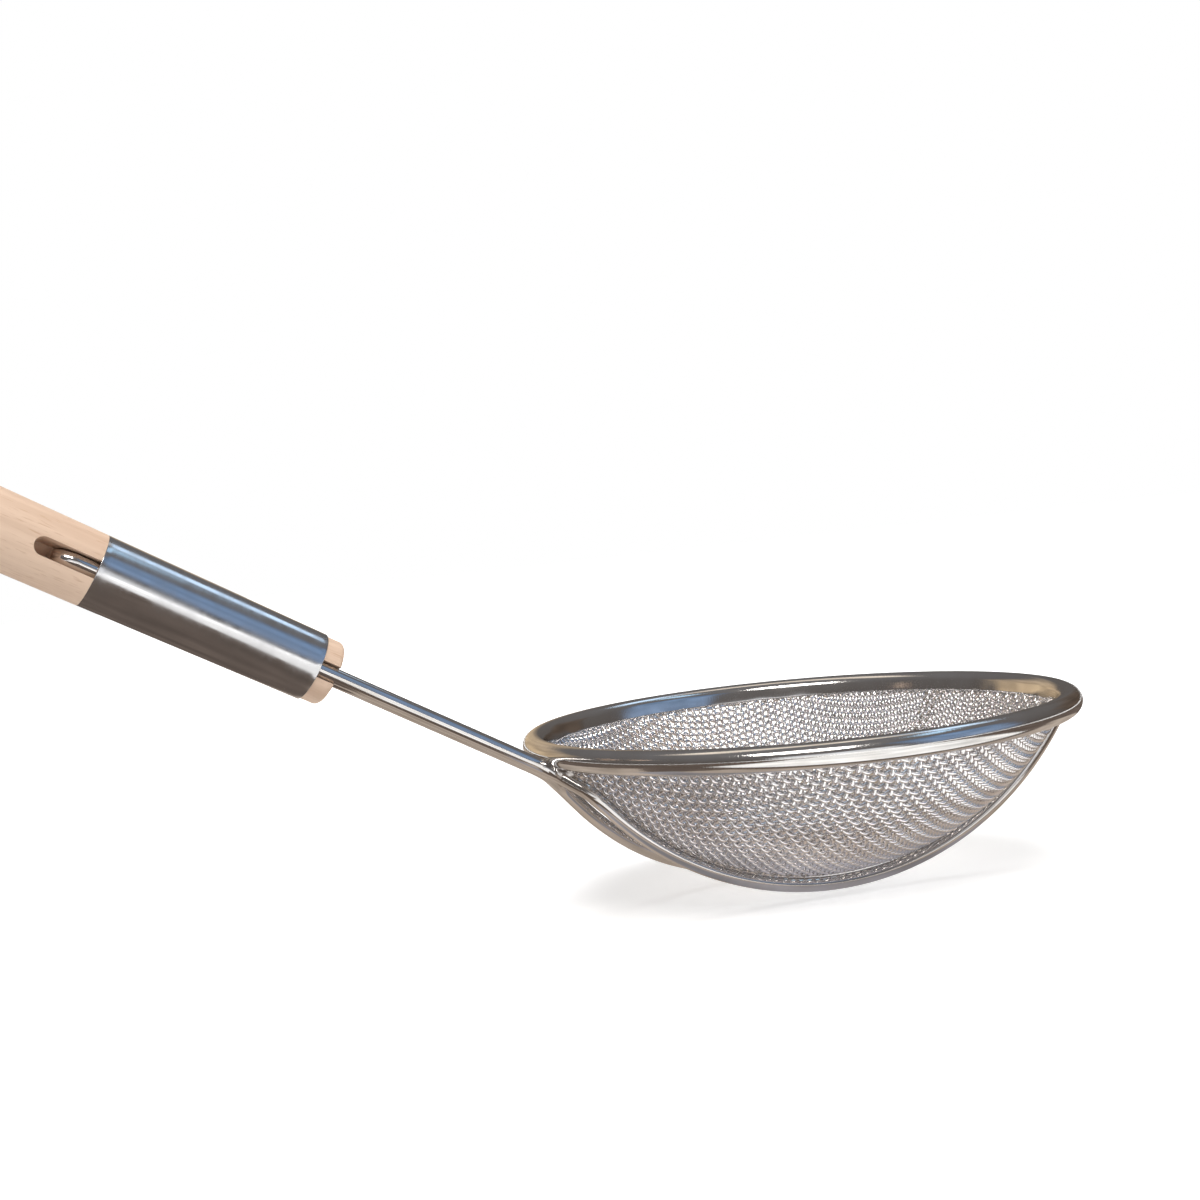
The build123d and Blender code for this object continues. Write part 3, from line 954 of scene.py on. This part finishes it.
def makeFloor():
    # pale floor that keeps the object's shadow and turns white with distance
    half = studio["floorSize"] / 2
    points = np.array([[-half, -half, 0], [half, -half, 0], [half, half, 0], [-half, half, 0]])
    points[:, 2] = -studio["floorDrop"]
    floor = addPiece("floor", points, [[0, 1, 2, 3]])
    material, nodes, links, shader = newMaterial("floor")
    shader.inputs["Base Color"].default_value = studio["floorColor"]
    shader.inputs["Roughness"].default_value = studio["floorRoughness"]
    shader.inputs["Specular IOR Level"].default_value = 0.0
    shader.inputs["Emission Color"].default_value = (1, 1, 1, 1)
    path = nodes.new("ShaderNodeLightPath")
    seen = addMost(nodes, links, path.outputs["Is Camera Ray"], path.outputs["Is Glossy Ray"],
                   path.outputs["Is Transmission Ray"])
    place = nodes.new("ShaderNodeTexCoord").outputs["Object"]
    away = addStep(nodes, links, "VectorMath", "LENGTH", place)
    white = addSpread(nodes, links, away, *studio["floorGlow"])
    links.new(addStep(nodes, links, "Math", "MULTIPLY", seen, white), shader.inputs["Emission Strength"])
    floor.data.materials.append(material)
    floor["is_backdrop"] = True


makeFloor()


def makeWorld():
    # white to the camera, a dim room to mirror rays and even soft light to the rest
    world = bpy.data.worlds.new("studio")
    bpy.context.scene.world = world
    world.use_nodes = True
    nodes, links = world.node_tree.nodes, world.node_tree.links
    path = nodes.new("ShaderNodeLightPath")
    seen = addMost(nodes, links, path.outputs["Is Camera Ray"], path.outputs["Is Transmission Ray"])
    height = addSplit(nodes, links, nodes.new("ShaderNodeTexCoord").outputs["Generated"])["Z"]
    room = addColorMix(nodes, links, height, studio["roomLow"], studio["roomHigh"])
    mirrored = addColorMix(nodes, links, path.outputs["Is Glossy Ray"], (studio["soft"],) * 3, room)
    links.new(addColorMix(nodes, links, seen, mirrored, (1, 1, 1)), nodes["Background"].inputs["Color"])


makeWorld()


lamps = {                             # place, size, power, colour, and whether metal mirrors it
    "key": ((-0.35, -0.85, 1.15), (0.8, 0.4), 11.2, (1, 0.97, 0.93), True),
    "side": ((0.9, -0.5, 0.35), (0.5, 0.5), 3.5, (1, 0.99, 0.97), False),
    "top": ((0.1, 0.3, 1.3), (0.9, 0.5), 10, (0.98, 0.99, 1), False),
}
lampTarget = Vector((0.05, 0.0, 0.06))
for name, (place, size, power, color, mirrored) in lamps.items():
    lampData = bpy.data.lights.new(name, "AREA")
    lampData.shape, lampData.size, lampData.size_y = "RECTANGLE", *size
    lampData.energy, lampData.color = power, color
    lamp = bpy.data.objects.new(name, lampData)
    lamp.location = place
    lamp.rotation_euler = (lampTarget - Vector(place)).to_track_quat("-Z", "Y").to_euler()
    lamp.visible_glossy = mirrored
    bpy.context.scene.collection.objects.link(lamp)

bpy.context.scene.view_settings.view_transform = "Standard"
low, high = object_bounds()
print("scene ready")
